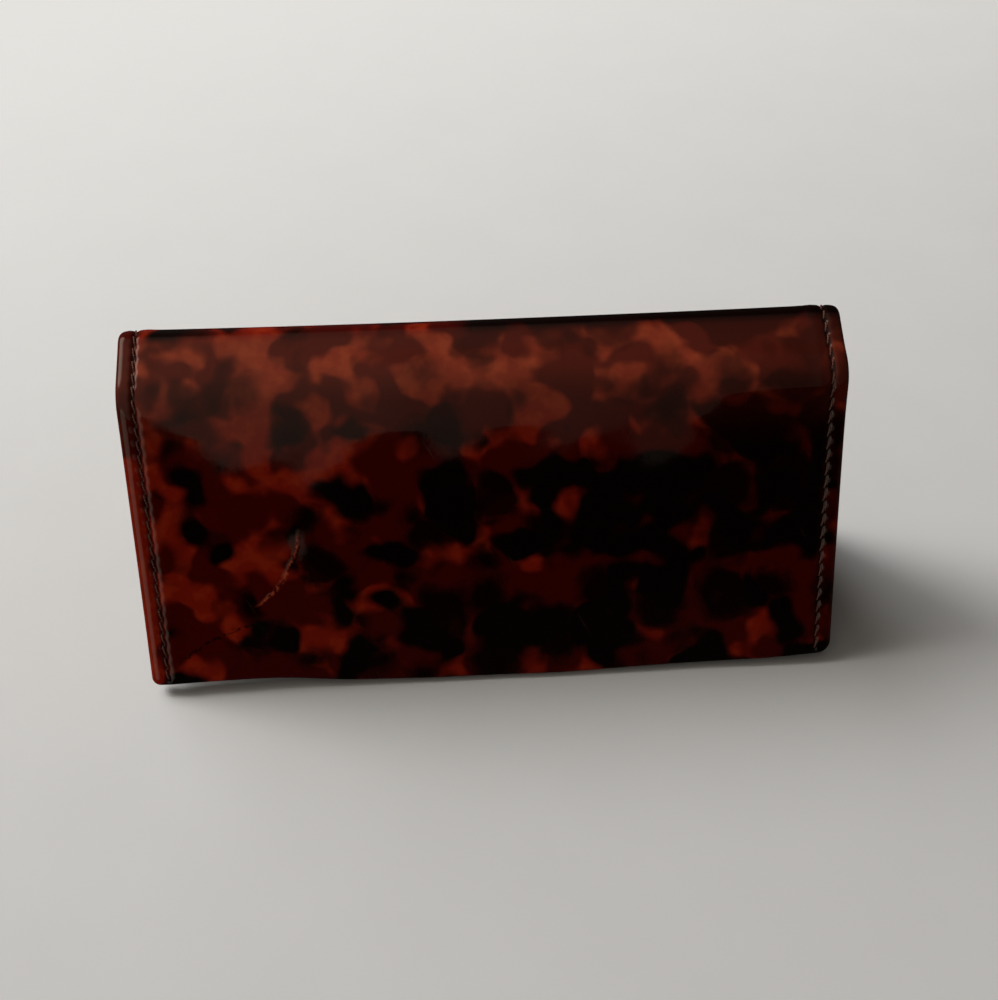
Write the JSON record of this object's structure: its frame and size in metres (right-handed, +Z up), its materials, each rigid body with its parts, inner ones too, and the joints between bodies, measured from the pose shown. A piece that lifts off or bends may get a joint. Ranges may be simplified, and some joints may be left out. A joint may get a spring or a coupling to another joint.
{
  "type": "sunglasses case",
  "caption": "Wedge-shaped sunglasses case with stiff stitched walls, recessed end gussets and a magnetic flap that folds at the ridge and at a front crease.",
  "frame": {"origin": "on the floor, under the middle of the case's outer box", "axes": "+X along the case to its right end as seen from the flap, +Y towards the back panel, +Z up"},
  "size_m": [0.166, 0.0494, 0.074],
  "materials": {
    "patent_skin": "clear high gloss over a tortoiseshell pattern",
    "core_board": "raw matte fibre board",
    "foam": "matte",
    "lining": "short soft nap",
    "keeper_steel": "satin",
    "magnet": "nickel plate",
    "thread": "twisted polyester"
  },
  "bodies": {
    "case_body": {"cover_skin": "patent_skin", "front_board": "core_board", "base_board": "core_board", "back_board": "core_board", "body_lining": "lining", "front_lip": "patent_skin", "keeper_plates": "keeper_steel", "gusset_skin_left": "patent_skin", "gusset_skin_right": "patent_skin", "gusset_board_left": "core_board", "gusset_board_right": "core_board", "gusset_lining_left": "lining", "gusset_lining_right": "lining", "body_stitches_left": "thread", "body_stitches_right": "thread", "ridge_fold_skin": "patent_skin", "ridge_fold_lining": "lining", "ridge_fold_stitches": "thread"},
    "flap_top": {"top_skin": "patent_skin", "top_board": "core_board", "top_lining": "lining", "top_stitches": "thread", "crease_fold_skin": "patent_skin", "crease_fold_lining": "lining", "crease_fold_stitches": "thread"},
    "flap_front": {"flap_skin": "patent_skin", "flap_foam": "foam", "flap_board": "core_board", "flap_lining": "lining", "flap_magnets": "magnet", "flap_stitches_left": "thread", "flap_stitches_right": "thread"}
  },
  "joints": [
    {"name": "flap_ridge", "type": "hinge", "parent": "case_body", "child": "flap_top", "pos_m": [0, 0.02243, 0.07275], "axis": [-1, 0, 0], "range_deg": [0, 170], "deforming": ["ridge_fold_skin", "ridge_fold_lining", "ridge_fold_stitches"]},
    {"name": "flap_crease", "type": "hinge", "parent": "flap_top", "child": "flap_front", "pos_m": [0, 0.00676, 0.06649], "axis": [-1, 0, 0], "range_deg": [0, 60], "deforming": ["crease_fold_skin", "crease_fold_lining", "crease_fold_stitches"]}
  ]
}
